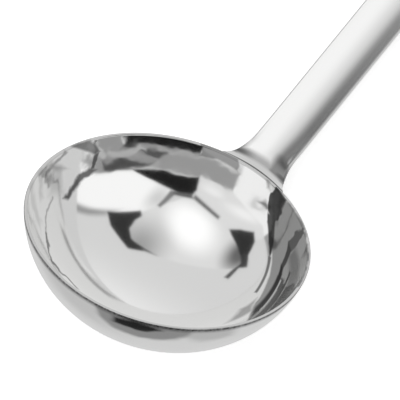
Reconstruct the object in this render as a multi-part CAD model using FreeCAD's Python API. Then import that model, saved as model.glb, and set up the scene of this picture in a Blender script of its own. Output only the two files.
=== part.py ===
import FreeCAD, Part
import math
import os

os.makedirs("parts", exist_ok=True)

# Serving ladle struck from one blank. All sizes are in millimetres.
# It is drawn with the middle of the rim at the origin, the rim level and the handle towards +X.
# At the end it is laid down as it comes to rest on a table.

# Bowl, measured on its outside. Angles are in degrees.
rim_radius = 45.0
bowl_depth = 34.0
bottom_turn = 42.5
rim_lean = 9.0
wall = 1.1
rim_inside_bevel = 0.5
rim_outside_bevel = 0.3
rim_flat = 0.1

# Handle
handle_width = 15.8
handle_thickness = 2.8
handle_crown = 0.5
handle_edge_round = 0.5
handle_slope = 34.6
handle_length = 238.0

# Root, where the handle leaves the rim
root_thickness = 1.6
root_step = 0.35
root_crown = 0.02
bend_radius = 8.0
bend_reach = 1.0
flare_radius = 15.0
flare_bite_share = 0.9
thickening_length = 16.0
crowning_length = 22.0
under_round = 3.0
under_inset = 0.8
root_steps = 16

origin = FreeCAD.Vector()
up = FreeCAD.Vector(0, 0, 1)
across = FreeCAD.Vector(0, 1, 0)
half_width = handle_width / 2
slope = math.radians(handle_slope)

# The bevels and rounds shrink where the metal is too thin for them.
rim_bevel_share = min(1.0, (wall - rim_flat) / (rim_inside_bevel + rim_outside_bevel))
edge_round = min(handle_edge_round, 0.4 * root_thickness, 0.4 * (handle_thickness - handle_crown))


def point(x, z):
    """A point of the plane of symmetry."""
    return FreeCAD.Vector(x, 0, z)


def on_circle(centre, radius, angle):
    """The point of a circle in the plane of symmetry, at an angle from +X towards +Z."""
    return centre + point(math.cos(angle), math.sin(angle)) * radius


def arc(centre, radius, start, end):
    """An arc in the plane of symmetry."""
    angles = (start, (start + end) / 2, end)
    return Part.Arc(*[on_circle(centre, radius, angle) for angle in angles]).toShape()


# The bowl's section is two tangent arcs. The bottom arc leaves the axis level and rises by
# bottom_turn. The shoulder arc goes on from there, and at the rim it still leans out by rim_lean.
# Their radii follow from how far each arc reaches out and up for every millimetre of its radius.
shoulder_angle = math.radians(bottom_turn - 90)
lip_angle = math.radians(-rim_lean)
bottom_out = math.cos(shoulder_angle)
bottom_up = 1 + math.sin(shoulder_angle)
shoulder_out = math.cos(lip_angle) - math.cos(shoulder_angle)
shoulder_up = math.sin(lip_angle) - math.sin(shoulder_angle)
spread = bottom_out * shoulder_up - bottom_up * shoulder_out
bottom_radius = (rim_radius * shoulder_up - bowl_depth * shoulder_out) / spread
shoulder_radius = (bowl_depth * bottom_out - rim_radius * bottom_up) / spread
bottom_centre = point(0, bottom_radius - bowl_depth)
shoulder_centre = on_circle(bottom_centre, bottom_radius - shoulder_radius, shoulder_angle)


def turned_bowl(inset, bevel, side):
    """A solid turned from the bowl's section, moved inwards by inset and filled up to the rim.

    A bevel leads from the wall to the rim's level top. It turns in towards the bowl's axis where
    side is 1, and away from it where side is -1.
    """
    bottom = bottom_radius - inset
    shoulder = shoulder_radius - inset
    bevel_angle = math.asin((-bevel - shoulder_centre.z) / shoulder)
    wall_top = shoulder_centre.x + math.sqrt(shoulder**2 - shoulder_centre.z**2)
    pole = on_circle(bottom_centre, bottom, -math.pi / 2)
    bevel_foot = on_circle(shoulder_centre, shoulder, bevel_angle)
    bevel_top = point(wall_top - side * bevel, 0)
    outline = Part.Wire([
        arc(bottom_centre, bottom, -math.pi / 2, shoulder_angle),
        arc(shoulder_centre, shoulder, shoulder_angle, bevel_angle),
        Part.makeLine(bevel_foot, bevel_top),
        Part.makeLine(bevel_top, origin),
        Part.makeLine(origin, pole),
    ])
    turned = Part.Face(outline).revolve(origin, up, 360)
    turned.rotate(origin, up, 180)
    return turned


def hollow():
    """All that is taken out of the filled bowl and the root: the bowl's inside, and above it."""
    inside = turned_bowl(wall, rim_inside_bevel * rim_bevel_share, -1)
    mouth = max(inside.Vertexes, key=lambda vertex: abs(vertex.X))
    return inside.fuse(Part.makeCylinder(abs(mouth.X), bowl_depth))


# The handle's top line runs level out of the rim, bends up on one radius and goes on straight.
bend_start = rim_radius + bend_reach - bend_radius * math.tan(slope / 2)
bend_centre = point(bend_start, bend_radius - root_step)
bend_run = bend_radius * slope


def top_line(run):
    """The place and slope of the handle's top line, at a distance along it from the bend."""
    angle = min(max(run / bend_radius, 0.0), slope)
    place = on_circle(bend_centre, bend_radius, angle - math.pi / 2)
    straight_run = run - min(max(run, 0.0), bend_run)
    along = point(math.cos(angle), math.sin(angle))
    outward = point(-math.sin(angle), math.cos(angle))
    return place + along * straight_run, along, outward


# Each flare is tangent to the handle's side and to a circle just inside the rim's outer edge.
flare_circle = rim_radius - flare_bite_share * wall
flare_y = half_width + flare_radius
flare_x = math.sqrt((flare_circle + flare_radius) ** 2 - flare_y**2)
root_start = flare_x * flare_circle / (flare_circle + flare_radius)


def half_width_at(x):
    """The handle's half width, seen from above."""
    if x >= flare_x:
        return half_width
    return flare_y - math.sqrt(flare_radius**2 - (flare_x - x) ** 2)


def grown(start, end, share):
    """Goes from start to end with a level beginning and finish as share goes from 0 to 1."""
    held = min(max(share, 0.0), 1.0)
    return start + (end - start) * held * held * (3 - 2 * held)


def section(run):
    """The handle's outline across its top line: crowned on top, flat below, edges rounded."""
    place, along, outward = top_line(run)
    thickness = grown(root_thickness, handle_thickness, run / thickening_length)
    crown = grown(root_crown, handle_crown, run / crowning_length)
    crown_radius = (half_width**2 + crown**2) / (2 * crown)
    corner_y = half_width_at(place.x) - edge_round
    lean = math.asin(corner_y / (crown_radius - edge_round))
    upper_corner = (crown_radius - edge_round) * math.cos(lean) - crown_radius
    lower_corner = edge_round - thickness

    def spot(side, corner_height, angle):
        y = side * (corner_y + edge_round * math.cos(angle))
        return place + across * y + outward * (corner_height + edge_round * math.sin(angle))

    def corner(side, corner_height, start, end):
        angles = (start, (start + end) / 2, end)
        return Part.Arc(*[spot(side, corner_height, angle) for angle in angles]).toShape()

    top = math.pi / 2 - lean
    foot = -math.pi / 2
    return Part.Wire([
        Part.Arc(spot(-1, upper_corner, top), place, spot(1, upper_corner, top)).toShape(),
        corner(1, upper_corner, top, 0),
        Part.makeLine(spot(1, upper_corner, 0), spot(1, lower_corner, 0)),
        corner(1, lower_corner, 0, foot),
        Part.makeLine(spot(1, lower_corner, foot), spot(-1, lower_corner, foot)),
        corner(-1, lower_corner, foot, 0),
        Part.makeLine(spot(-1, lower_corner, 0), spot(-1, upper_corner, 0)),
        corner(-1, upper_corner, 0, top),
    ])


handle_end_run = handle_length - half_width
handle_end, handle_end_along, handle_end_outward = top_line(handle_end_run)


def handle():
    """Root, strap and rounded end, as one solid."""
    root_end = max(crowning_length, thickening_length, flare_x - bend_start + bend_run)
    first_run = root_start - bend_start
    step = (root_end - first_run) / root_steps
    root = Part.makeLoft([section(first_run + step * i) for i in range(root_steps + 1)], True)

    straight = handle_end_run - root_end
    strap = Part.Face(section(root_end)).extrude(handle_end_along * straight)

    one_side = Part.makeBox(handle_width, handle_width, handle_width)
    one_side.translate(handle_end - point(half_width, half_width))
    half_section = Part.Face(section(handle_end_run)).common(one_side).Faces[0]
    end = half_section.revolve(handle_end, handle_end_outward, -180)
    return root.fuse([strap, end])


def circles_meet(first, first_radius, second, second_radius):
    """The lower of the two points where circles in the plane of symmetry cross."""
    gap = second - first
    distance = gap.Length
    near = (distance**2 + first_radius**2 - second_radius**2) / (2 * distance)
    aside = math.sqrt(first_radius**2 - near**2)
    gap.normalize()
    return first + gap * near + point(-gap.z, gap.x) * aside


def corner_below_root():
    """A turned fillet between the wall of the bowl and the underside of the root.

    It is tangent to both in the plane of symmetry, and stops just inside the flares.
    """
    under_radius = bend_radius + root_thickness
    centre = circles_meet(
        bend_centre, under_radius + under_round, shoulder_centre, shoulder_radius + under_round
    )
    to_wall = shoulder_centre - centre
    to_root = bend_centre - centre
    wall_angle = math.atan2(to_wall.z, to_wall.x)
    root_angle = math.atan2(to_root.z, to_root.x)
    wall_end = on_circle(centre, under_round, wall_angle)
    root_end = on_circle(centre, under_round, root_angle)
    in_root = point(rim_radius - wall / 2, -root_step - root_thickness / 2)
    in_bowl = point(in_root.x - wall, wall_end.z)
    outline = Part.Wire([
        arc(centre, under_round, root_angle, wall_angle),
        Part.makeLine(wall_end, in_bowl),
        Part.makeLine(in_bowl, in_root),
        Part.makeLine(in_root, root_end),
    ])
    half_turn = math.degrees(math.atan2(flare_y, flare_x))
    corner = Part.Face(outline).revolve(origin, up, 2 * half_turn)
    corner.rotate(origin, up, -half_turn)
    for side in (-1, 1):
        beside = Part.makeCylinder(flare_radius + under_inset, 2 * bowl_depth)
        beside.translate(FreeCAD.Vector(flare_x, side * flare_y, -bowl_depth))
        corner = corner.cut(beside)
    return corner


def lying_tilt(centre, radius):
    """How far the ladle tips back when this arc of the bowl and the handle's end both touch."""
    foot = handle_end + handle_end_along * (half_width - edge_round)
    foot = foot - handle_end_outward * (handle_thickness - edge_round)
    reach = foot - centre
    return math.atan2(reach.z, reach.x) + math.asin((radius - edge_round) / reach.Length)


def lay_down(shape):
    """Rests the ladle on its bowl and its handle's end, centred over the origin."""
    contact, radius = bottom_centre, bottom_radius
    tilt = lying_tilt(contact, radius)
    if tilt > math.pi / 2 + shoulder_angle:
        contact, radius = shoulder_centre, shoulder_radius
        tilt = lying_tilt(contact, radius)
    shape.rotate(origin, across, math.degrees(tilt))
    floor = FreeCAD.Rotation(across, math.degrees(tilt)).multVec(contact).z - radius
    box = shape.optimalBoundingBox(True, False)
    middle = (box.XMin + box.XMax) / 2
    shape.translate(point(-middle, -floor))
    print("tipped back by", math.degrees(tilt), "degrees")
    print("middle of the rim at", -middle, -floor)
    return shape


filled_bowl = turned_bowl(0, rim_outside_bevel * rim_bevel_share, 1)
body = filled_bowl.fuse([handle(), corner_below_root()])
ladle = lay_down(body.cut(hollow()).removeSplitter())
box = ladle.optimalBoundingBox(True, False)
print("valid", ladle.isValid(), "solids", len(ladle.Solids), "volume", ladle.Volume)
print("size", box.XLength, box.YLength, box.ZLength, "lowest", box.ZMin)
ladle.exportStep("parts/ladle.step")
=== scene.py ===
# %% [markdown]
# # A serving ladle in polished steel
# A flatware ladle is struck from one blank: the bowl is pressed, the handle stays a flat strap,
# and the root between them is bent up and flared out into the rim. This lesson dresses the
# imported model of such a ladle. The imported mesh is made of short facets, which is right for
# physics and wrong for a mirror, so both shapes are made again here as smooth meshes of the
# same sizes, and the studio around them is drawn as the real one shows in the steel.

# %% Load the frame
import bmesh
import bpy
import math
from mathutils import Matrix, Vector


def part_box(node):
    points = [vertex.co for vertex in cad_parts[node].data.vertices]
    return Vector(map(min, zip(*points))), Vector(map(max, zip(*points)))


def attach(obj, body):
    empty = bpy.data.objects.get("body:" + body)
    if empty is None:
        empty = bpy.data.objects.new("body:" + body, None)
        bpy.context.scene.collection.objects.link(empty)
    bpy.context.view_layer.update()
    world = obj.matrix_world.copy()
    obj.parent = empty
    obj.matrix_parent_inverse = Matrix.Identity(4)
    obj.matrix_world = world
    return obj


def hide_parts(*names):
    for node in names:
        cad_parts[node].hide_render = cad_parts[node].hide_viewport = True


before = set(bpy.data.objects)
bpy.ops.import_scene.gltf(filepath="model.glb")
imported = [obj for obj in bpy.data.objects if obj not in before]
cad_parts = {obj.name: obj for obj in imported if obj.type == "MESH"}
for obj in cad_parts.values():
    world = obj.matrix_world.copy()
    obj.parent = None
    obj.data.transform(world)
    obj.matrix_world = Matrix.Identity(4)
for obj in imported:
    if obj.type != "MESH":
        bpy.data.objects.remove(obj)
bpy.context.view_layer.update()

# %% [markdown]
# ## Sizes
# All sizes are in millimetres, as a maker would write them on the drawing, and one matrix at
# the end turns them into Blender's metres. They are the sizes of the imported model. The bowl is
# drawn with the middle of its rim at the origin, the rim level and the handle towards +X.

# %% Sizes of the bowl and the handle
rim_radius = 45.0
bowl_depth = 34.0
bottom_turn = math.radians(42.5)
rim_lean = math.radians(9.0)
wall = 1.1
rim_inside_round = 0.6
rim_outside_round = 0.35

handle_width = 15.8
handle_thickness = 2.8
handle_crown = 0.5
handle_edge_round = 0.5
handle_slope = math.radians(34.6)
handle_length = 238.0

root_thickness = 1.6
root_step = 0.35
root_crown = 0.02
bend_radius = 8.0
bend_reach = 1.0
flare_radius = 15.0
flare_circle = rim_radius - 0.9 * wall
thickening_length = 16.0
crowning_length = 22.0
under_round = 3.0

half_width = handle_width / 2
print("rim", 2 * rim_radius, "mm wide, handle", handle_length, "mm long")

# %% [markdown]
# ## The bowl's two arcs
# The bowl's side is a wide bottom arc that runs tangent into a tighter shoulder arc. Their
# radii follow from the rim's radius, the depth and the two angles, so none is guessed: each
# arc reaches a known share of its radius outwards and upwards, which gives two equations.

# %% Centres and radii of the two arcs
shoulder_angle = bottom_turn - math.pi / 2
bottom_out = math.cos(shoulder_angle)
bottom_up = 1 + math.sin(shoulder_angle)
shoulder_out = math.cos(-rim_lean) - math.cos(shoulder_angle)
shoulder_up = math.sin(-rim_lean) - math.sin(shoulder_angle)
spread = bottom_out * shoulder_up - bottom_up * shoulder_out
bottom_radius = (rim_radius * shoulder_up - bowl_depth * shoulder_out) / spread
shoulder_radius = (bowl_depth * bottom_out - rim_radius * bottom_up) / spread


def on_circle(centre, radius, angle):
    """The point of a circle in the plane of symmetry, at an angle from +X towards +Z."""
    return centre + Vector((math.cos(angle), 0, math.sin(angle))) * radius


bottom_centre = Vector((0, 0, bottom_radius - bowl_depth))
shoulder_centre = on_circle(bottom_centre, bottom_radius - shoulder_radius, shoulder_angle)
print("bottom arc", round(bottom_radius, 2), "mm, shoulder arc", round(shoulder_radius, 2), "mm")

# %% [markdown]
# ## A pen for outlines
# A turned shape is drawn as half of its section and spun, the way a potter or a lathe makes
# it. A line of points could be typed, but a pen that spins one vertex about a centre leaves a
# true arc behind it, and the drawing stays readable: arc, arc, line, arc.

# %% The pen
class Pen:
    """Draws an outline in the plane of symmetry, with a vertex as its tip."""

    def __init__(self, x, z):
        self.bm = bmesh.new()
        self.tip = bmesh.ops.create_vert(self.bm, co=(x, 0, z))["vert"][0]

    def arc(self, centre, angle, steps):
        """Turns the tip about a centre. A positive angle goes from +X towards +Z."""
        turned = bmesh.ops.spin(
            self.bm, geom=[self.tip], cent=centre, axis=(0, -1, 0), angle=angle, steps=steps
        )
        self.tip = turned["geom_last"][0]

    def line(self, x, z, steps=1):
        """Draws a straight line to a point, in equal steps."""
        start = self.tip.co.copy()
        for step in range(1, steps + 1):
            drawn = bmesh.ops.extrude_vert_indiv(self.bm, verts=[self.tip])
            self.tip = drawn["verts"][0]
            self.tip.co = start.lerp(Vector((x, 0, z)), step / steps)


def rim_round(radius, wall_radius, side):
    """Centre of a round that touches the level rim and the wall, and the angle of that touch."""
    reach = wall_radius - side * radius
    rise = -radius - shoulder_centre.z
    centre = Vector((shoulder_centre.x + math.sqrt(reach**2 - rise**2), 0, -radius))
    return centre, math.atan2(rise, centre.x - shoulder_centre.x)


# %% [markdown]
# ## How the ladle lies
# At rest the ladle tips back until its bowl and the end of its handle both touch the table.
# The tilt is worked out from the two circles that touch, and the place along the table comes
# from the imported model's box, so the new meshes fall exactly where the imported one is.

# %% The top line of the handle
bend_start = rim_radius + bend_reach - bend_radius * math.tan(handle_slope / 2)
bend_centre = Vector((bend_start, 0, bend_radius - root_step))
bend_run = bend_radius * handle_slope
handle_end_run = handle_length - half_width


def top_line(run):
    """Place and outward direction of the handle's top line, at a distance along it."""
    angle = min(max(run / bend_radius, 0.0), handle_slope)
    straight_run = run - min(max(run, 0.0), bend_run)
    place = on_circle(bend_centre, bend_radius, angle - math.pi / 2)
    along = Vector((math.cos(angle), 0, math.sin(angle)))
    outward = Vector((-math.sin(angle), 0, math.cos(angle)))
    return place + along * straight_run, along, outward


def run_at(x):
    """How far along the top line a place near the bend is, from its distance out."""
    if x <= bend_start:
        return x - bend_start
    return bend_radius * math.asin((x - bend_start) / bend_radius)


handle_end, end_along, end_outward = top_line(handle_end_run)
end_foot = handle_end + end_along * (half_width - handle_edge_round)
end_foot = end_foot - end_outward * (handle_thickness - handle_edge_round)
reach = end_foot - bottom_centre
tilt = math.atan2(reach.z, reach.x) + math.asin((bottom_radius - handle_edge_round) / reach.length)
print("tipped back by", round(math.degrees(tilt), 3), "degrees")

# %% The matrix that lays the ladle down
MILLIMETRE = 0.001
turned_back = Matrix.Rotation(tilt, 4, "Y")
handle_tip = handle_end + end_along * half_width - end_outward * handle_thickness / 2
cad_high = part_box("ladle")[1]
rim_height = bottom_radius - (turned_back @ bottom_centre).z
rim_place = cad_high[0] / MILLIMETRE - (turned_back @ handle_tip).x
rim_middle = Vector((rim_place, 0, rim_height)) * MILLIMETRE
lying = Matrix.Translation(rim_middle) @ turned_back @ Matrix.Scale(MILLIMETRE, 4)
print("middle of the rim at", [round(value, 5) for value in rim_middle])


# %% [markdown]
# ## Finishing a piece
# A mirror shows every error of a surface's direction, so each vertex is told which way the
# real surface faces there, instead of leaving it to an average of the faces around it. The
# function that tells it works in the drawing's millimetres and is given the mesh's own answer.
# Each vertex also keeps its place on the drawing, as an attribute that a material can read.

# %% A finished piece
merge_distance = 0.0005


def finished_piece(name, bm, facing):
    """Closes a mesh, lays it down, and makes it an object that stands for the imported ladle."""
    bmesh.ops.remove_doubles(bm, verts=bm.verts, dist=merge_distance)
    bmesh.ops.recalc_face_normals(bm, faces=bm.faces)
    open_edges = sum(len(edge.link_faces) != 2 for edge in bm.edges)
    bm.normal_update()
    to_table = turned_back.to_3x3()
    normals = [to_table @ facing(vert.co, vert.normal) for vert in bm.verts]
    drawn = [value for vert in bm.verts for value in vert.co]
    bmesh.ops.transform(bm, matrix=lying, verts=bm.verts)
    mesh = bpy.data.meshes.new(name)
    bm.to_mesh(mesh)
    bm.free()
    mesh.shade_smooth()
    mesh.normals_split_custom_set_from_vertices(normals)
    mesh.attributes.new("drawn", "FLOAT_VECTOR", "POINT").data.foreach_set("vector", drawn)
    piece = bpy.data.objects.new(name, mesh)
    bpy.context.scene.collection.objects.link(piece)
    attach(piece, "root")
    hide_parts("ladle")
    print(name, len(mesh.polygons), "faces,", open_edges, "open edges")
    return piece


# %% [markdown]
# ## The bowl
# The real bowl is pressed from sheet and its rim is dressed round by a belt. It could be a
# sphere cut in half, but it is deeper at the side than a sphere and its wall has a thickness
# that shows at the rim. So the pen draws the whole section, from the outside pole over the
# rim to the inside pole, and one full spin with merged ends turns it.

# %% Turn the bowl
ARC_STEPS = 28
ROUND_STEPS = 6
TURN_STEPS = 224

outside_centre, outside_angle = rim_round(rim_outside_round, shoulder_radius, 1)
inside_centre, inside_angle = rim_round(rim_inside_round, shoulder_radius - wall, -1)

pen = Pen(0, -bowl_depth)
pen.arc(bottom_centre, bottom_turn, ARC_STEPS)
pen.arc(shoulder_centre, outside_angle - shoulder_angle, ARC_STEPS)
pen.arc(outside_centre, math.pi / 2 - outside_angle, ROUND_STEPS)
pen.line(inside_centre.x, 0)
pen.arc(inside_centre, math.pi / 2 + inside_angle, ROUND_STEPS)
pen.arc(shoulder_centre, shoulder_angle - inside_angle, ARC_STEPS)
pen.arc(bottom_centre, -bottom_turn, ARC_STEPS)
bmesh.ops.spin(
    pen.bm, geom=pen.bm.verts[:] + pen.bm.edges[:], cent=(0, 0, 0), axis=(0, 0, 1),
    angle=2 * math.pi, steps=TURN_STEPS, use_merge=True,
)
print("bowl", len(pen.bm.verts), "vertices")

# %% [markdown]
# ## Which way the bowl's surface faces
# On an arc the surface faces away from the arc's centre, or towards it on the inside. The
# reflections in the photograph show one thing more: near the rim the inside mirrors the room
# as if its wall opened further than its outline does, and on the left side further still.
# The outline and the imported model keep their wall. Only the directions are opened, from
# nothing at some depth to their full angle at the rim, and that costs no shape.

# %% How far the directions are opened
opened_lean = math.radians(13.0)
opened_left = math.radians(12.0)
opened_depth = 20.0
opened_power = 1.5

# the left side, in degrees round the bowl from the handle
left_start = 62.0
left_rise = 20.0
left_end = 125.0
left_fall = 30.0


def grown(start, end, share):
    """Goes from start to end with a level beginning and finish as share goes from 0 to 1."""
    held = min(max(share, 0.0), 1.0)
    return start + (end - start) * held * held * (3 - 2 * held)


def left_side(turn):
    """1 on the left side of the bowl as the camera sees it, and 0 on the rest of it."""
    degrees = math.degrees(turn)
    return grown(0, 1, (degrees - left_start) / left_rise) * grown(1, 0, (degrees - left_end) / left_fall)


print("opened by", round(math.degrees(opened_lean + opened_left)), "degrees at most")


# %% The bowl's directions
def angle_from(centre, place):
    """The angle of a place of the section seen from a centre, from outwards towards up."""
    return math.atan2(place.z - centre.z, place.x - centre.x)


def bowl_facing(vert, own):
    """The surface's direction at a vertex of the bowl."""
    place = Vector((math.hypot(vert.x, vert.y), 0, vert.z))
    turn = math.atan2(vert.y, vert.x)
    centre = bottom_centre if angle_from(bottom_centre, place) < shoulder_angle else shoulder_centre
    radius = bottom_radius if centre is bottom_centre else shoulder_radius
    angle = angle_from(centre, place)
    if (place - centre).length > radius - wall / 2:
        if angle > outside_angle and place.z > outside_centre.z - rim_outside_round:
            angle = max(angle_from(outside_centre, place), angle)
        return Vector((math.cos(angle) * math.cos(turn), math.cos(angle) * math.sin(turn), math.sin(angle)))
    lean = -angle
    if angle > inside_angle and place.z > inside_centre.z - rim_inside_round:
        lean = max(math.pi - angle_from(inside_centre, place), lean)
    share = min(max(1 + place.z / opened_depth, 0.0), 1.0)
    opened = opened_lean * share**opened_power + opened_left * share * left_side(turn)
    lean = min(lean + opened, math.pi / 2)
    return Vector((-math.cos(lean) * math.cos(turn), -math.cos(lean) * math.sin(turn), math.sin(lean)))


bowl = finished_piece("bowl", pen.bm, bowl_facing)

# %% [markdown]
# ## The handle
# The strap is crowned on top, flat below, and round at its end. A box with bevelled edges
# would give the strap but not the end, so half of the section is drawn and spun by half a
# turn for the round end. The open ring that is left is then extruded back to the bowl.

# %% Draw and spin the handle's end
TOP_STEPS = 12
CORNER_STEPS = 5
END_STEPS = 36

crown_radius = (half_width**2 + handle_crown**2) / (2 * handle_crown)
corner_y = half_width - handle_edge_round
crown_lean = math.asin(corner_y / (crown_radius - handle_edge_round))
upper_corner = (crown_radius - handle_edge_round) * math.cos(crown_lean) - crown_radius
lower_corner = handle_edge_round - handle_thickness

pen = Pen(0, 0)
pen.arc(Vector((0, 0, -crown_radius)), -crown_lean, TOP_STEPS)
pen.arc(Vector((corner_y, 0, upper_corner)), crown_lean - math.pi / 2, CORNER_STEPS)
pen.line(half_width, lower_corner)
pen.arc(Vector((corner_y, 0, lower_corner)), -math.pi / 2, CORNER_STEPS)
pen.line(0, -handle_thickness, TOP_STEPS)
strap = pen.bm
bmesh.ops.spin(
    strap, geom=strap.verts[:] + strap.edges[:], cent=(0, 0, 0), axis=(0, 0, 1),
    angle=math.pi, steps=END_STEPS,
)
bmesh.ops.remove_doubles(strap, verts=strap.verts, dist=merge_distance)
print("rounded end", len(strap.faces), "faces")

# %% [markdown]
# ## Extruding towards the bowl
# Most of the strap is straight and needs few rings. Near the bowl the rings come closer
# together, because there the strap bends up, thins and spreads.

# %% Extrude the strap
ROOT_RINGS = 44
STRAP_RINGS = 26
ring_crowding = 1.5
first_out = rim_radius - wall / 2
first_run = run_at(first_out)
root_end = crowning_length

runs = [first_run + (root_end - first_run) * (ring / ROOT_RINGS) ** ring_crowding
        for ring in range(ROOT_RINGS + 1)]
runs += [root_end + (handle_end_run - root_end) * ring / STRAP_RINGS
         for ring in range(1, STRAP_RINGS)]

ring_edges = [edge for edge in strap.edges if edge.is_boundary]
last_run = handle_end_run
for run in [*reversed(runs), first_run - wall]:
    pulled = bmesh.ops.extrude_edge_only(strap, edges=ring_edges)["geom"]
    ring_edges = [item for item in pulled if isinstance(item, bmesh.types.BMEdge)]
    ring_edges = [edge for edge in ring_edges if edge.is_boundary]
    ring_verts = [item for item in pulled if isinstance(item, bmesh.types.BMVert)]
    bmesh.ops.translate(strap, vec=(0, run - last_run, 0), verts=ring_verts)
    last_run = run
bmesh.ops.rotate(strap, cent=(0, 0, 0), matrix=Matrix.Rotation(-math.pi / 2, 3, "Z"), verts=strap.verts)
print("strap", len(strap.faces), "faces,", len(ring_edges), "edges in a ring")

# %% [markdown]
# ## Closing the end in the wall
# The last ring ends inside the bowl's wall, where nobody sees it, but the mesh is a solid
# and is closed. One large face would cut straight through the curved wall, so the ring's top
# and bottom are bridged by a strip, and only the two small corners are filled.

# %% Close the strap's hidden end
def level_edges(upper):
    """The edges of the last ring that lie on its top, or on its bottom."""
    kept = []
    for edge in ring_edges:
        middle = (edge.verts[0].co + edge.verts[1].co) / 2
        if abs(middle.y) < corner_y and (middle.z > -handle_thickness / 2) == upper:
            kept.append(edge)
    return kept


bmesh.ops.bridge_loops(strap, edges=level_edges(True) + level_edges(False))
bmesh.ops.holes_fill(strap, edges=[edge for edge in strap.edges if edge.is_boundary], sides=0)
print("open edges left", sum(edge.is_boundary for edge in strap.edges))

# %% [markdown]
# ## Shaping the root
# So far the handle is a straight bar. The smith's work on the root is done by moving its
# vertices: each one knows how far along the bar it is, how far across and how deep. The bar
# is bent up on one radius, thinned towards the bowl, and spread into the rim on two flares.
# The rings start on the rim's circle and straighten as they leave it. Below, a turned corner
# fills the angle between the wall and the root, as a press leaves it.

# %% The flares and the thinning
flare_y = half_width + flare_radius
flare_x = math.sqrt((flare_circle + flare_radius) ** 2 - flare_y**2)
flare_start = flare_x * first_out / (flare_circle + flare_radius)


def half_width_at(x):
    """The handle's half width, seen from above."""
    if x >= flare_x:
        return half_width
    return flare_y - math.sqrt(flare_radius**2 - (flare_x - x) ** 2)


# %% The corner below the root
under_radius = bend_radius + root_thickness
to_shoulder = shoulder_centre - bend_centre
corner_near = (
    to_shoulder.length**2 + (under_radius + under_round) ** 2
    - (shoulder_radius + under_round) ** 2
) / (2 * to_shoulder.length)
corner_aside = math.sqrt((under_radius + under_round) ** 2 - corner_near**2)
to_shoulder.normalize()
under_centre = bend_centre + to_shoulder * corner_near
under_centre = under_centre + Vector((-to_shoulder.z, 0, to_shoulder.x)) * corner_aside
wall_angle = math.atan2(shoulder_centre.z - under_centre.z, shoulder_centre.x - under_centre.x)
root_angle = math.atan2(bend_centre.z - under_centre.z, bend_centre.x - under_centre.x)
corner_end_run = run_at(on_circle(under_centre, under_round, root_angle).x)
corner_taper = 3.5
print("corner below the root", [round(value, 2) for value in under_centre])


# %% Bend, thin and spread the bar
def crown_drop(crown, share):
    """How far the crowned top has fallen at a share of the half width."""
    return crown * share**2


def shaped(place):
    """Where a point of the straight bar lies on the handle."""
    run = max(place.x + handle_end_run, first_run)
    side = math.copysign(1.0, place.y)
    edge_share = min(max((run - first_run) / (root_end - first_run), 0.0), 1.0)
    edge_run = run + (run_at(flare_start) - first_run) * (1 - edge_share)
    width = half_width_at(top_line(edge_run)[0].x)
    if abs(place.y) > corner_y:
        y = place.y + side * (width - half_width)
    else:
        y = place.y * (width - handle_edge_round) / corner_y
    own_run = run + (edge_run - run) * (y / width) ** 2
    thickness = grown(root_thickness, handle_thickness, own_run / thickening_length)
    crown = grown(root_crown, handle_crown, own_run / crowning_length)
    middle, along, outward = top_line(own_run)
    if place.z > -handle_thickness / 2:
        height = place.z + crown_drop(handle_crown, place.y / half_width)
        height = height - crown_drop(crown, y / width)
        return middle + outward * height + Vector((0, y, 0))
    height = place.z + handle_thickness - thickness
    plain = middle + outward * height + Vector((0, y, 0))
    corner_share = (run - first_run) / (corner_end_run - first_run)
    if corner_share >= 1:
        return plain
    angle = wall_angle + (root_angle - wall_angle) * corner_share
    drawn = on_circle(under_centre, under_round, angle)
    turn = math.atan2(plain.y, plain.x)
    filled = Vector((drawn.x * math.cos(turn), drawn.x * math.sin(turn), drawn.z))
    return plain.lerp(filled, grown(0, 1, (width - abs(y)) / corner_taper))


hidden_depth = 0.25
for vert in strap.verts:
    into_wall = vert.co.x + handle_end_run < first_run - wall / 2
    vert.co = shaped(vert.co)
    if into_wall:
        out = math.hypot(vert.co.x, vert.co.y)
        vert.co.x *= (out - hidden_depth) / out
        vert.co.y *= (out - hidden_depth) / out
print("handle", len(strap.verts), "vertices")

# %% [markdown]
# ## Which way the handle's face looks
# In the photograph the handle's left half is white and its right side is dark, while the
# bright light hangs on its right. A face that bulges would show them the other way round, so
# its directions are turned to those of a hollow face, leaning a little towards the bowl.

# %% The handle's directions
hollow_lean = math.radians(17.0)
bowl_lean = math.radians(5.0)
bulge_lean = math.asin(half_width / crown_radius)
hollow_start = rim_radius + 2.5
hollow_run = 5.0
least_upward = 0.9


def handle_facing(place, own):
    """The surface's direction at a vertex of the handle: its own, hollowed on the face."""
    if own.dot(end_outward) < least_upward or place.x < hollow_start:
        return own
    across = min(max(place.y / half_width, -1.0), 1.0)
    hollow = grown(0, 1, (place.x - hollow_start) / hollow_run)
    aside = math.tan((hollow_lean + bulge_lean) * across) * hollow
    return (own - Vector((math.tan(bowl_lean) * hollow, aside, 0))).normalized()


handle = finished_piece("handle", strap, handle_facing)

# %% [markdown]
# ## Writing shader maths as Python
# A material is a net of nodes. Dragged by hand it is quick to start and slow to read, so here
# one small class wraps a socket and gives it Python's operators. An expression such as
# 1 - mask then adds its own Math node.

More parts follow.
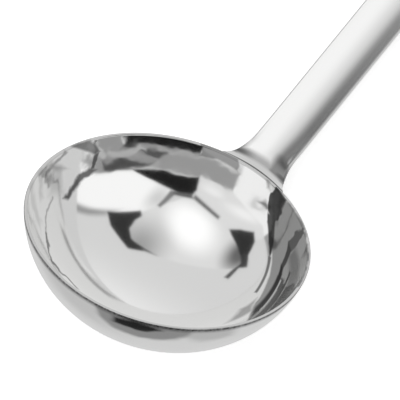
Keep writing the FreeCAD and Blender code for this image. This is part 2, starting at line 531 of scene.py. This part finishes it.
# %% The socket class
class Signal:
    """One output socket of a node tree, with operators that add Math nodes."""

    def __init__(self, tree, socket=None):
        self.tree = tree
        self.socket = socket

    def node(self, kind, settings=None, inputs=None, output=0):
        """Adds a node: first its settings, then the value or link of each named socket."""
        made = self.tree.nodes.new(kind)
        for name, value in (settings or {}).items():
            setattr(made, name, value)
        for name, value in (inputs or {}).items():
            if isinstance(value, Signal):
                self.tree.links.new(value.socket, made.inputs[name])
            else:
                made.inputs[name].default_value = value
        return Signal(self.tree, made.outputs[output] if len(made.outputs) else None)

    def math(self, operation, *values, clamp=False):
        """Adds one Math node."""
        settings = {"operation": operation, "use_clamp": clamp}
        return self.node("ShaderNodeMath", settings, dict(enumerate(values)))

    def __add__(self, other):
        return self.math("ADD", self, other)

    def __sub__(self, other):
        return self.math("SUBTRACT", self, other)

    def __mul__(self, other):
        return self.math("MULTIPLY", self, other)

    def __truediv__(self, other):
        return self.math("DIVIDE", self, other)

    def __radd__(self, other):
        return self.math("ADD", other, self)

    def __rsub__(self, other):
        return self.math("SUBTRACT", other, self)

    def __rmul__(self, other):
        return self.math("MULTIPLY", other, self)

    def least(self, other):
        return self.math("MINIMUM", self, other)

    def most(self, other):
        return self.math("MAXIMUM", self, other)

    def clamped(self):
        return self.math("ADD", self, 0.0, clamp=True)

    def soft_step(self, low, high):
        """Goes smoothly from 0 at low to 1 at high."""
        settings = {"interpolation_type": "SMOOTHSTEP"}
        return self.node("ShaderNodeMapRange", settings, {0: self, 1: low, 2: high, 3: 0.0, 4: 1.0})

    def between(self, near, far):
        """1 between two soft edges, each a pair of where it starts and where it is full."""
        return self.soft_step(*near) * self.soft_step(*far)

    def dot(self, other):
        """The dot product of two vectors, one of them a constant."""
        settings = {"operation": "DOT_PRODUCT"}
        return self.node("ShaderNodeVectorMath", settings, {0: self, 1: other}, "Value")

    def parts(self):
        """The three parts of a vector."""
        split = self.tree.nodes.new("ShaderNodeSeparateXYZ")
        self.tree.links.new(self.socket, split.inputs[0])
        return [Signal(self.tree, output) for output in split.outputs]


# %% [markdown]
# ## Polished and brushed steel
# The bowl is buffed to a mirror, and the handle is brushed along its length, which spreads
# its reflections. Both are metal, so their colour is that of their reflections, and most of
# the work is in roughness and bump. Darker steel is painted shade and painted reflections.
# Grain and waves are read from Object coordinates, and places on the form from the drawing's own.

# %% Start a steel material
steel_colour = (0.885, 0.885, 0.88, 1.0)


def new_steel(name):
    """A metallic material with its tree, its shader and the piece's own coordinates."""
    material = bpy.data.materials.new(name)
    material.use_nodes = True
    tree = material.node_tree
    shader = tree.nodes["Principled BSDF"]
    shader.inputs["Metallic"].default_value = 1.0
    shader.inputs["Base Color"].default_value = steel_colour
    start = Signal(tree)
    place = start.node("ShaderNodeTexCoord", output="Object")
    return material, start, shader, place


def noise(place, scale, detail, stretch=(1.0, 1.0, 1.0)):
    """Noise with this many features to the metre, stretched along the axes."""
    mapped = place.node("ShaderNodeMapping", None, {"Vector": place, "Scale": stretch})
    inputs = {"Vector": mapped, "Scale": scale, "Detail": detail}
    return place.node("ShaderNodeTexNoise", None, inputs, "Fac")


def connect(signal, shader, name):
    """Feeds one socket of a shader."""
    signal.tree.links.new(signal.socket, shader.inputs[name])


def bump(height, distance):
    """A normal that follows a height, where a height of 1 is this many metres."""
    return height.node("ShaderNodeBump", None, {"Height": height, "Distance": distance}, "Normal")


def length_of(x, y):
    """The length of a flat vector from its two parts."""
    squared = x * x + y * y
    return squared.math("SQRT", squared)


def drawn_place(start):
    """A point's place on the drawing in millimetres, and how far it is from the bowl's axis."""
    settings = {"attribute_name": "drawn"}
    parts = start.node("ShaderNodeAttribute", settings, None, "Vector").parts()
    return [*parts, length_of(parts[0], parts[1])]


def steel_at_level(level, shader):
    """Gives the shader the steel's colour times a level, which carries painted shade and reflections."""
    inputs = {0: steel_colour[:3], "Scale": level}
    connect(level.node("ShaderNodeVectorMath", {"operation": "SCALE"}, inputs), shader, "Base Color")


# %% [markdown]
# ## A painter of cards
# The same tool paints the steel here and the studio later. It works on any flat map and lays
# one soft-edged card over another, as one would with paper. A card is the common part of the
# half planes beside its edges, so its corners go round anticlockwise and it has no notches.

# %% The painter
class Painter:
    """Lays cards and round lights over each other on a flat map, each with a level of light."""

    def __init__(self, place, level):
        self.place = place
        self.level = level

    def over(self, level, mask):
        """Covers what is there, where the mask is 1."""
        settings = {"data_type": "FLOAT"}
        self.level = mask.node("ShaderNodeMix", settings, {0: mask, 2: self.level, 3: level})

    def card(self, level, soft, *corners):
        """A card with corners in anticlockwise order and a soft edge."""
        depth = None
        for (x0, y0), (x1, y1) in zip(corners, corners[1:] + corners[:1]):
            length = math.hypot(x1 - x0, y1 - y0)
            across_x = (y0 - y1) / length
            across_y = (x1 - x0) / length
            inside = self.place.dot((across_x, across_y, -x0 * across_x - y0 * across_y))
            depth = inside if depth is None else depth.least(inside)
        self.over(level, depth.soft_step(-soft, soft))

    def glow(self, level, centre, reach, turn=0.0, core=0.0):
        """A round light, full in its core and fading out to its reach."""
        cos, sin = math.cos(turn), math.sin(turn)
        x, y = centre
        along = self.place.dot((cos / reach[0], sin / reach[0], -(x * cos + y * sin) / reach[0]))
        aside = self.place.dot((-sin / reach[1], cos / reach[1], (x * sin - y * cos) / reach[1]))
        self.over(level, 1.0 - length_of(along, aside).soft_step(core, 1.0))


# %% [markdown]
# ## The bowl's polish
# Deep in the bowl the polish is even. Towards the rim the real sheet is left with ripples, and
# the room shows in them as long dark streaks. A turned wall has no ripples, and their shape is
# not known, so the streaks are painted reflections: darker steel that stays in place when the
# camera moves. They are cards on a map of the wall: across it runs the angle round the bowl
# from the handle, in tens of degrees, and up it the height, in centimetres.

# %% A map of the inside wall
in_tens_of_degrees = 18.0 / math.pi
in_centimetres = 0.1
ripple_up = 0.35

polished, start, shader, place = new_steel("polished steel")
forward, aside, height, out = drawn_place(start)
ripple = noise(place, 130.0, 3.0) - 0.5
round_the_bowl = aside.math("ARCTAN2", aside, forward) * in_tens_of_degrees
map_places = {0: round_the_bowl + ripple, 1: height * in_centimetres + ripple * ripple_up, 2: 1.0}
wall_map = start.node("ShaderNodeCombineXYZ", None, map_places)
from_shoulder = length_of(out - shoulder_centre.x, height - shoulder_centre.z)
on_inside = from_shoulder.soft_step(shoulder_radius - 0.4 * wall, shoulder_radius - 0.6 * wall)
print("nodes in the map of the wall", len(polished.node_tree.nodes))

# %% Painted reflections on the right wall
# the streaks are painted reflections, laid on the steel's colour as darker levels
painted_reflections = Painter(wall_map, 1.0)
painted_reflections.card(0.40, 0.04, (-9.0, -2.1), (-6.0, -2.05), (-4.2, -1.65), (-2.7, -1.25), (-1.9, -0.9),
             (-1.7, 0.02), (-7.5, 0.02), (-9.5, -1.0))
painted_reflections.card(0.22, 0.15, (-6.6, -1.1), (-4.3, -1.0), (-4.1, -0.6), (-6.6, -0.5))
painted_reflections.card(0.10, 0.06, (-9.0, -2.05), (-6.3, -2.0), (-4.9, -1.5), (-6.0, -1.0), (-7.2, -0.4),
             (-9.5, -0.9))
painted_reflections.card(0.45, 0.03, (-7.6, -1.62), (-7.2, -1.62), (-5.4, -1.06), (-5.6, -1.02))
painted_reflections.card(0.38, 0.03, (-7.7, -1.98), (-7.3, -2.0), (-5.6, -1.52), (-5.8, -1.46))
painted_reflections.card(0.09, 0.04, (-2.15, -0.95), (-1.45, -0.75), (-1.2, -0.35), (-1.3, 0.02), (-1.9, 0.02),
             (-2.05, -0.4))
painted_reflections.card(0.10, 0.04, (-3.4, -1.53), (-2.7, -1.38), (-1.75, -1.0), (-1.5, -0.8), (-2.1, -0.8))
painted_reflections.card(0.25, 0.03, (-5.3, -2.08), (-5.1, -2.12), (-3.2, -1.52), (-3.4, -1.47))
painted_reflections.card(0.14, 0.04, (-4.15, -0.95), (-3.5, -0.8), (-3.5, -0.4), (-3.8, 0.0), (-4.0, 0.0))
painted_reflections.card(0.08, 0.04, (-5.0, -1.42), (-4.5, -1.35), (-3.55, -0.8), (-4.05, -0.8))
painted_reflections.card(0.03, 0.04, (-7.1, -2.0), (-6.5, -1.98), (-4.4, -1.33), (-5.0, -1.33))
painted_reflections.card(0.03, 0.06, (-7.4, -1.5), (-6.6, -1.35), (-6.0, -1.05), (-6.5, -0.7), (-7.0, -0.45),
             (-7.6, -0.9))
painted_reflections.card(0.06, 0.03, (-7.8, -1.72), (-7.2, -1.72), (-5.1, -1.02), (-5.3, -0.98))
painted_reflections.card(0.60, 0.03, (-7.0, -1.86), (-6.8, -1.87), (-5.3, -1.42), (-5.4, -1.38))
painted_reflections.card(0.50, 0.10, (-7.6, -2.5), (-6.3, -2.4), (-5.8, -2.1), (-6.6, -2.05))
print("nodes with the right streaks", len(polished.node_tree.nodes))

# %% Painted reflections on the left wall
painted_reflections.card(0.74, 0.25, (9.2, -1.3), (10.2, -1.0), (10.1, -0.4), (9.2, -0.5))
painted_reflections.card(0.30, 0.06, (6.85, -0.48), (7.2, -0.52), (8.4, 0.02), (7.5, 0.02))
painted_reflections.card(0.28, 0.05, (7.2, -0.95), (7.5, -0.95), (7.15, -0.5), (6.85, -0.5))
painted_reflections.card(0.16, 0.07, (7.1, -1.02), (9.0, -1.52), (9.25, -1.42), (7.6, -0.86))
painted_reflections.card(0.50, 0.06, (8.6, -0.12), (10.2, -0.42), (10.3, -0.32), (8.8, 0.0))
painted_reflections.card(0.50, 0.14, (8.9, -0.58), (9.4, -0.52), (10.0, -0.1), (9.7, -0.1))
painted_reflections.card(0.78, 0.16, (10.6, -0.9), (10.9, -0.9), (10.9, 0.1), (10.5, 0.1))
painted_reflections.card(0.80, 0.20, (11.5, -1.3), (12.0, -1.4), (11.9, 0.1), (11.4, 0.1))
painted_reflections.card(0.60, 0.04, (10.0, -1.15), (11.5, -1.72), (11.6, -1.66), (10.1, -1.08))
painted_reflections.card(0.30, 0.03, (11.5, -1.72), (13.0, -2.05), (13.1, -2.0), (11.6, -1.63))
painted_reflections.card(0.20, 0.04, (12.9, -2.1), (13.2, -2.3), (13.2, -2.1), (13.0, -2.0))
painted_reflections.card(0.35, 0.03, (12.95, -2.05), (13.95, -2.85), (14.1, -2.85), (13.1, -2.0))
print("nodes with the left streaks", len(polished.node_tree.nodes))

# %% Painted reflections by the root
painted_reflections.card(0.47, 0.06, (0.7, -0.32), (2.5, -0.34), (2.5, 0.1), (0.9, 0.1))
painted_reflections.card(0.65, 0.08, (-1.1, -0.20), (-0.9, -0.22), (-0.6, 0.1), (-0.8, 0.1))
painted_reflections.over(1.0, 1.0 - on_inside)
print("nodes with all streaks", len(polished.node_tree.nodes))

# %% [markdown]
# ## The rim's edge
# The rim was trimmed and then dressed by a belt, which leaves its outer edge rough. Painted
# reflections darken that edge and each side of the lip. They are masks by height and by distance
# from the bowl's axis. A belt never bears evenly, so noise breaks up the rough, darkened band.

# %% Painted dark lines of the rim's edge
# each pair is where a mask starts and where it is full, in millimetres
belt_height = (-3.4, -1.0)
brink_height = (-1.3, -0.5)
below_top = (0.0, -0.18)
outside_edge = (-0.45, -0.2)
inside_line_height = (-0.7, -0.4)
inside_line = ((-1.8, -1.55), (-1.1, -1.35))
top_line_height = (-0.6, -0.3)
top_edge = (-1.5, -1.2)
belt_share = 0.45
lip_depth = 0.9
inside_line_depth = 0.8
top_edge_depth = 0.3

past_rim = out - rim_radius
edge_grit = (0.3 + noise(place, 1500.0, 3.0) * 1.1).clamped()
trimmed = height.soft_step(*belt_height) * belt_share + height.soft_step(*brink_height) * (1.0 - belt_share)
lip_outside = past_rim.soft_step(*outside_edge) * trimmed * height.soft_step(*below_top) * edge_grit
lip_inside = past_rim.between(*inside_line) * height.soft_step(*inside_line_height)
lip_top = past_rim.soft_step(*top_edge) * height.soft_step(*top_line_height)
painted_lip_lines = lip_outside.most(lip_inside * inside_line_depth).most(lip_top * top_edge_depth) * lip_depth
# the steel's colour carries painted reflections: the streaks and the lip's dark lines
steel_at_level(painted_reflections.level * (1.0 - painted_lip_lines), shader)
print("nodes with the rim's edge", len(polished.node_tree.nodes))

# %% [markdown]
# ## Mirror polish
# A buffed bowl is not a perfect mirror. The wheel leaves faint wipes and a fine grit, which
# make the roughness uneven, and the pressed sheet keeps long waves and, near the rim, shorter
# ones. They are bump of about a tenth of a millimetre, which a mirror shows plainly.

# %% The polish itself
polish_roughness = 0.055
wipe_roughness = 0.03
grit_roughness = 0.02
trimmed_roughness = 0.2
long_wave_share = 0.2
short_wave_height = (-14.0, -8.0)
wave_bump = 0.00014

wipes = noise(place, 30.0, 3.0) * wipe_roughness
grit = noise(place, 900.0, 2.0) * grit_roughness
connect(polish_roughness + wipes + grit + lip_outside * trimmed_roughness, shader, "Roughness")
long_waves = noise(place, 45.0, 1.0) * long_wave_share
short_waves = noise(place, 110.0, 2.0) * height.soft_step(*short_wave_height)
connect(bump(long_waves + short_waves, wave_bump), shader, "Normal")
bowl.data.materials.append(polished)
print("nodes in the polish", len(polished.node_tree.nodes))

# %% [markdown]
# ## The handle's satin
# The wheel brushes the strap along its length and leaves the fold at the rim rougher. The crease
# and the fold, the two flares beside them, the right half of the root and a thin line along each
# edge are painted darker, as painted shade and painted reflections. All are masks in millimetres
# past the rim and to the side, and the largest of them counts.

# %% Painted shade and reflections on the handle
# each pair is where a mask starts and where it is full
crease = (0.6, 0.2)
fold = ((1.6, 3.0), (5.4, 3.3))
fold_aside = (2.0, 8.5)
flares = ((1.6, 2.4), (12.0, 5.0))
flares_aside = (6.0, 9.5)
right_root = ((1.8, 2.8), (8.5, 5.5))
right_aside = (-1.0, -4.5)
edge_line = ((half_width - 0.6, half_width - 0.3), (half_width - 0.02, half_width - 0.1))
edge_line_past = (5.0, 9.0)
flares_depth = 0.65
right_depth = 0.75
edge_line_depth = 0.6

brushed, start, shader, place = new_steel("brushed steel")
_, aside, _, out = drawn_place(start)
past_rim = out - rim_radius
from_middle = aside.math("ABSOLUTE", aside)
in_fold = past_rim.between(*fold) * (0.5 + from_middle.soft_step(*fold_aside) * 0.4)
painted_shade = past_rim.soft_step(*crease).most(in_fold)
painted_shade = painted_shade.most(past_rim.between(*flares) * from_middle.soft_step(*flares_aside) * flares_depth)
painted_shade = painted_shade.most(past_rim.between(*right_root) * aside.soft_step(*right_aside) * right_depth)
on_edge = from_middle.between(*edge_line) * past_rim.soft_step(*edge_line_past)
painted_shade = painted_shade.most(on_edge * edge_line_depth)
print("nodes of the dull places", len(brushed.node_tree.nodes))

# %% The satin itself
satin_level = 0.91
painted_shade_depth = 0.80
satin_roughness = 0.13
grain_roughness = 0.04
fold_roughness = 0.12
grain_stretch = (0.02, 1.0, 1.0)
grain_bump = 0.000002

grain = noise(place, 500.0, 4.0, grain_stretch)
# the handle's darker places are painted shade and painted reflections
steel_at_level(satin_level - painted_shade * painted_shade_depth, shader)
connect(satin_roughness + grain * grain_roughness + in_fold * fold_roughness, shader, "Roughness")
connect(bump(grain, grain_bump), shader, "Normal")
handle.data.materials.append(brushed)
print("materials", [material.name for material in bpy.data.materials])

# %% [markdown]
# ## The studio
# A mirror shows what stands around it, so the studio is most of the picture. White cards and
# black flags could be real planes, but a bowl mirror shows the whole room, and each card
# would show from other sides too. Here they are painted on the sky, on a flat map of it: a
# direction (x, y, z) is put at (x, y) / (1 + z), so straight up is the middle of the map and
# the horizon is the circle of radius 1. The camera itself sees plain white.

# %% The sky's map
least_scale = 0.05

world = bpy.data.worlds.new("studio")
bpy.context.scene.world = world
world.use_nodes = True
world.node_tree.nodes.clear()
sky = Signal(world.node_tree)
direction = sky.node("ShaderNodeTexCoord", output="Generated")
ray_x, ray_y, ray_z = direction.parts()
map_scale = (ray_z + 1.0).most(least_scale)
sky_map = sky.node("ShaderNodeCombineXYZ", None, {0: ray_x / map_scale, 1: ray_y / map_scale, 2: 1.0})
print("nodes in the map of the sky", len(world.node_tree.nodes))

# %% The far side of the room
studio = Painter(sky_map, 0.74)

# the black edge of the table, and the grey wall before it
studio.card(0.012, 0.006, (-3.0, -0.205), (-3.0, -3.0), (-0.10, -3.0), (-0.10, -0.745), (-0.30, -0.205))
studio.glow(0.34, (1.092, 0.145), (1.512, 1.512), core=0.988)
studio.card(0.33, 0.02, (-0.05, -0.80), (-0.30, -1.2), (0.90, -1.2), (0.90, -0.80))

# %% Streaks on the grey wall
studio.card(0.58, 0.008, (-0.42, -0.09), (-0.42, -0.20), (-0.36, -0.205), (-0.39, -0.09))
studio.card(0.42, 0.006, (-0.365, -0.21), (-0.235, -0.53), (-0.215, -0.50), (-0.345, -0.19))
studio.card(0.09, 0.010, (-0.26, -0.42), (-0.17, -0.62), (-0.12, -0.64), (-0.19, -0.45))
studio.card(0.42, 0.010, (-0.19, -0.44), (-0.08, -0.59), (-0.06, -0.565), (-0.17, -0.43))
studio.card(0.50, 0.010, (-0.19, -0.58), (-0.14, -0.70), (-0.11, -0.70), (-0.17, -0.57))
studio.card(0.48, 0.012, (-0.17, -0.62), (0.08, -0.90), (0.12, -0.88), (-0.10, -0.64))
studio.card(0.07, 0.014, (-0.16, -0.47), (0.0, -0.74), (0.20, -0.86), (0.20, -0.80), (0.02, -0.62))
studio.card(0.045, 0.010, (-0.15, -0.69), (-0.10, -0.80), (-0.04, -0.81), (-0.13, -0.68))
studio.card(0.52, 0.012, (0.12, -0.88), (0.22, -0.96), (0.26, -0.92), (0.18, -0.86))

# the pale end of the wall, and two dark things before it
studio.card(0.90, 0.015, (0.17, -1.2), (1.3, -1.2), (1.3, -0.88), (0.34, -0.895), (0.25, -0.90))
studio.card(0.05, 0.008, (0.19, -0.98), (0.24, -1.025), (0.29, -0.97), (0.25, -0.93))
studio.card(0.05, 0.010, (0.13, -0.99), (0.26, -1.10), (0.29, -1.08), (0.16, -0.97))
print("nodes with the far side", len(world.node_tree.nodes))

# %% The near side of the room
# the bright window on the left, and the dark gap beside it
studio.card(0.96, 0.008, (-0.60, 0.13), (-0.20, 0.13), (-0.10, 0.50), (-0.60, 0.90))
studio.glow(0.70, (-0.32, 0.33), (0.05, 0.08), 0.2)
studio.card(0.16, 0.015, (-0.345, 0.42), (-0.31, 0.34), (-0.30, 0.46), (-0.33, 0.50))

# the open room, brighter towards its far end, and the tall card on the left
studio.glow(0.73, (0.657, 0.051), (0.951, 0.951), core=0.982)
studio.glow(0.98, (1.30, 0.35), (0.95, 1.05))
studio.card(0.80, 0.008, (-0.31, 0.13), (-0.28, -0.13), (-0.10, -0.13), (-0.06, 0.15),
            (-0.11, 0.50), (-0.15, 0.55), (-0.22, 0.49))
studio.glow(0.97, (-0.22, 0.28), (0.07, 0.24), 0.1, 0.1)
studio.glow(0.93, (-0.24, 0.00), (0.05, 0.13), 0.1, 0.1)

# the large white card towards the near edge of the table
studio.card(1.04, 0.015, (-0.11, -0.22), (-0.04, -0.58), (0.09, -0.70), (0.20, -0.77), (0.40, -0.85),
            (0.70, -0.905), (0.97, -0.90), (0.18, -0.275), (0.10, -0.23))
studio.glow(0.70, (0.04, -0.28), (0.20, 0.11))
studio.card(0.34, 0.03, (0.36, -0.44), (0.95, -0.93), (0.98, -0.84), (0.62, -0.57), (0.46, -0.47))

# %% Black flags, and the dark wedge with its tail
studio.card(0.014, 0.008, (-0.265, -0.135), (-0.17, -0.39), (-0.05, -0.56), (-0.015, -0.59),
            (-0.05, -0.38), (-0.105, -0.11), (-0.18, -0.10))
studio.card(0.06, 0.012, (-0.04, -0.57), (0.05, -0.70), (0.10, -0.75), (0.10, -0.71), (-0.02, -0.58))
studio.card(0.035, 0.008, (0.20, -0.30), (0.42, -0.475), (0.475, -0.38), (0.487, -0.17), (0.41, -0.09),
            (0.30, -0.15))
studio.card(0.10, 0.010, (0.41, -0.10), (0.36, 0.00), (0.34, -0.02), (0.38, -0.12))
studio.card(0.035, 0.008, (-0.145, 0.43), (-0.11, 0.31), (-0.07, 0.24), (0.10, 0.40),
            (0.11, 0.50), (-0.04, 0.487), (-0.09, 0.48))
studio.card(0.05, 0.008, (0.02, 0.44), (0.12, 0.46), (0.13, 0.50), (0.105, 0.555), (0.02, 0.487))
studio.card(0.06, 0.008, (0.12, 0.465), (0.23, 0.455), (0.23, 0.495), (0.12, 0.495))
print("nodes with the near side", len(world.node_tree.nodes))

# %% The main light
lamp = Painter(sky_map, 0.80)
lamp.glow(1.14, (0.06, 0.02), (0.20, 0.29), -0.3, 0.25)
lamp.glow(0.40, (0.38, -0.14), (0.29, 0.25))
lamp.glow(0.15, (0.05, 0.42), (0.19, 0.17), core=0.15)
housing = Painter(sky_map, 0.0)
housing.card(1.0, 0.006, (-0.14, -0.09), (-0.05, -0.20), (0.09, -0.235), (0.20, -0.295), (0.36, -0.268),
             (0.405, -0.21), (0.405, -0.10), (0.36, 0.0), (0.31, 0.20), (0.25, 0.38), (0.17, 0.46),
             (0.10, 0.482), (0.053, 0.44), (0.0, 0.345), (-0.065, 0.24), (-0.098, 0.13))
studio.over(lamp.level, housing.level)

# the seams between it and the cards
studio.card(0.12, 0.012, (-0.145, -0.09), (-0.115, -0.09), (-0.085, 0.13), (-0.11, 0.13))
studio.card(0.12, 0.010, (-0.14, -0.11), (-0.07, -0.24), (-0.05, -0.22), (-0.11, -0.09))
studio.card(0.20, 0.010, (-0.07, -0.245), (0.09, -0.24), (0.09, -0.215), (-0.06, -0.205))
print("nodes on the sky", len(world.node_tree.nodes))

# %% [markdown]
# ## Lighting the world with the studio
# A ray that has been from wall to wall of the bowl carries every small error of its first
# mirror with it, so it sees a plain pale room instead of the cards. The camera sees white.

# %% Light the world
more_than_one_bounce = 1.5

bounces = sky.node("ShaderNodeLightPath", output="Glossy Depth")
room = Painter(sky_map, 0.79)
room.glow(0.95, (0.9, 0.3), (1.2, 1.2))
studio.over(room.level, bounces.math("GREATER_THAN", bounces, more_than_one_bounce))
seen = sky.node("ShaderNodeLightPath", output="Is Camera Ray")
studio.over(1.0, seen)
shine = sky.node("ShaderNodeBackground", None, {"Color": studio.level, "Strength": 1.0})
output = world.node_tree.nodes.new("ShaderNodeOutputWorld")
world.node_tree.links.new(shine.socket, output.inputs["Surface"])
print("nodes of the world", len(world.node_tree.nodes))

# %% [markdown]
# ## The floor
# The ladle lies on white paper. A lit white surface is never quite as white as the page, so
# for the camera the floor shines a little by itself. It keeps the shadow below the bowl.

# %% Floor
floor_half = 4.0

floor_mesh = bpy.data.meshes.new("floor")
floor_bm = bmesh.new()
bmesh.ops.create_grid(floor_bm, x_segments=1, y_segments=1, size=floor_half)
floor_bm.to_mesh(floor_mesh)
floor_bm.free()
floor = bpy.data.objects.new("floor", floor_mesh)
bpy.context.scene.collection.objects.link(floor)
print("floor", 2 * floor_half, "m wide")

# %% White paper
paper_roughness = 0.9
paper_colour = (0.93, 0.93, 0.93, 1.0)
own_shine = 0.6

paper = bpy.data.materials.new("white paper")
paper.use_nodes = True
paper_shader = paper.node_tree.nodes["Principled BSDF"]
paper_shader.inputs["Roughness"].default_value = paper_roughness
paper_shader.inputs["Specular IOR Level"].default_value = 0.0
paper_shader.inputs["Base Color"].default_value = paper_colour
paper_shader.inputs["Emission Strength"].default_value = 1.0
paper_start = Signal(paper.node_tree)
paper_seen = paper_start.node("ShaderNodeLightPath", output="Is Camera Ray")
connect(paper_seen * own_shine, paper_shader, "Emission Color")
floor.data.materials.append(paper)
print("nodes of the paper", len(paper.node_tree.nodes))

# %% [markdown]
# ## What the outside of the bowl mirrors
# The bowl's outside looks down at the table beside it, and in the photograph a dark card is
# mirrored there. A real card would show in the picture and in the bowl too, so it is painted
# on the floor for glossy rays alone, with the same painter, in metres on the floor.

# %% The dark card on the table
floor_x, floor_y, _ = paper_start.node("ShaderNodeTexCoord", output="Object").parts()
floor_map = paper_start.node("ShaderNodeCombineXYZ", None, {0: floor_x, 1: floor_y, 2: 1.0})
table = Painter(floor_map, 0.68)
table.card(0.57, 0.02, (-0.19, 1.0), (-1.0, 1.0), (-1.0, 0.0), (-0.19, 0.0))
table.card(0.50, 0.006, (-0.185, -0.10), (-0.145, -0.085), (-0.142, -0.052), (-0.160, -0.049),
           (-0.185, -0.055))
table.card(0.28, 0.006, (-0.33, 0.025), (-0.40, -0.10), (-0.21, -0.12), (-0.183, -0.065),
           (-0.181, -0.047), (-0.190, -0.020), (-0.202, -0.004), (-0.228, 0.010))
table.card(0.02, 0.005, (-0.229, -0.006), (-0.258, -0.009), (-0.280, -0.050), (-0.240, -0.060),
           (-0.215, -0.057), (-0.215, -0.038))
print("nodes with the card", len(paper.node_tree.nodes))

# %% Show it to glossy rays alone
glossy = paper_start.node("ShaderNodeLightPath", output="Is Glossy Ray")
mirrored = paper_start.node("ShaderNodeEmission", None, {"Color": table.level, "Strength": 1.0})
mixed = paper.node_tree.nodes.new("ShaderNodeMixShader")
paper.node_tree.links.new(glossy.socket, mixed.inputs[0])
paper.node_tree.links.new(paper_shader.outputs["BSDF"], mixed.inputs[1])
paper.node_tree.links.new(mirrored.socket, mixed.inputs[2])
paper.node_tree.links.new(mixed.outputs[0], paper.node_tree.nodes["Material Output"].inputs["Surface"])
print("nodes on the floor", len(paper.node_tree.nodes))

# %% [markdown]
# ## The camera
# The photograph was taken from above and behind the bowl's side, from about arm's length
# with a long lens. The angles and the distance are what makes the rim's circle, the bowl's
# depth and the handle's edges fall where they do in it.

# %% Camera
view_elevation = math.radians(65.9435)
view_azimuth = math.radians(-25.3756)
view_roll = math.radians(-28.0277)
view_distance = 0.850
aside_right = 0.009678
aside_up = 0.008336
sensor_width = 36.0
lens_length = 249.22

facing = (
    Matrix.Rotation(view_azimuth, 4, "Z")
    @ Matrix.Rotation(math.pi / 2 - view_elevation, 4, "X")
    @ Matrix.Rotation(view_roll, 4, "Z")
)
camera_data = bpy.data.cameras.new("camera")
camera_data.sensor_width = sensor_width
camera_data.lens = lens_length
camera = bpy.data.objects.new("camera", camera_data)
bpy.context.scene.collection.objects.link(camera)
stand = rim_middle + facing.to_3x3() @ Vector((aside_right, aside_up, view_distance))
camera.matrix_world = Matrix.Translation(stand) @ facing
bpy.context.scene.camera = camera
bpy.context.scene.view_settings.view_transform = "Standard"
print("camera at", [round(value, 4) for value in stand])
